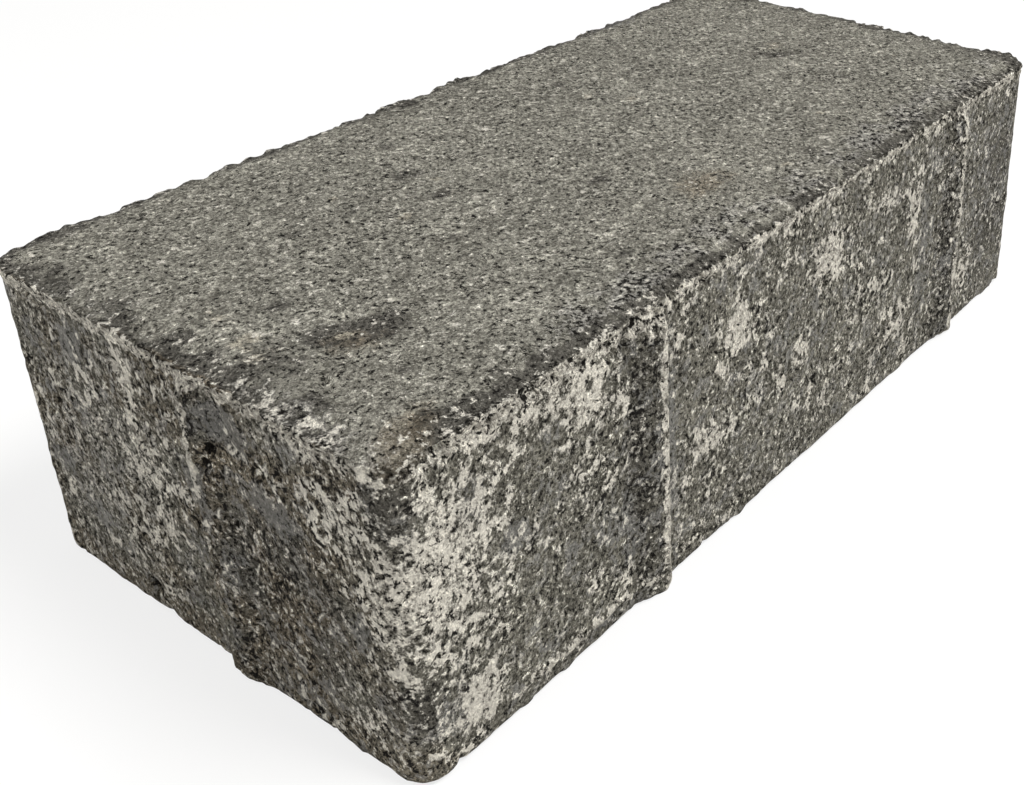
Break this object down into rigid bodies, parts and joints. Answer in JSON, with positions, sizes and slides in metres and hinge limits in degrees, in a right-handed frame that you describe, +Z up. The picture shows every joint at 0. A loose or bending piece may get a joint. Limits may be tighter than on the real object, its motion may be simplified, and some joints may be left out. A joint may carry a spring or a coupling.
{
  "type": "concrete paving stone",
  "caption": "Rectangular cast concrete paving stone with rounded corners, a shallow bevel round the walked face and spacer ribs on its sides that keep the joints open.",
  "frame": {"origin": "under the middle of the stone, on the face that lies in the bed", "axes": "+X along the length, +Y across the width, +Z up to the face that is walked on"},
  "size_m": [0.2, 0.1, 0.06],
  "materials": {
    "cast_concrete": "matte"
  },
  "bodies": {
    "root": {"paving_stone": "cast_concrete"}
  },
  "joints": []
}
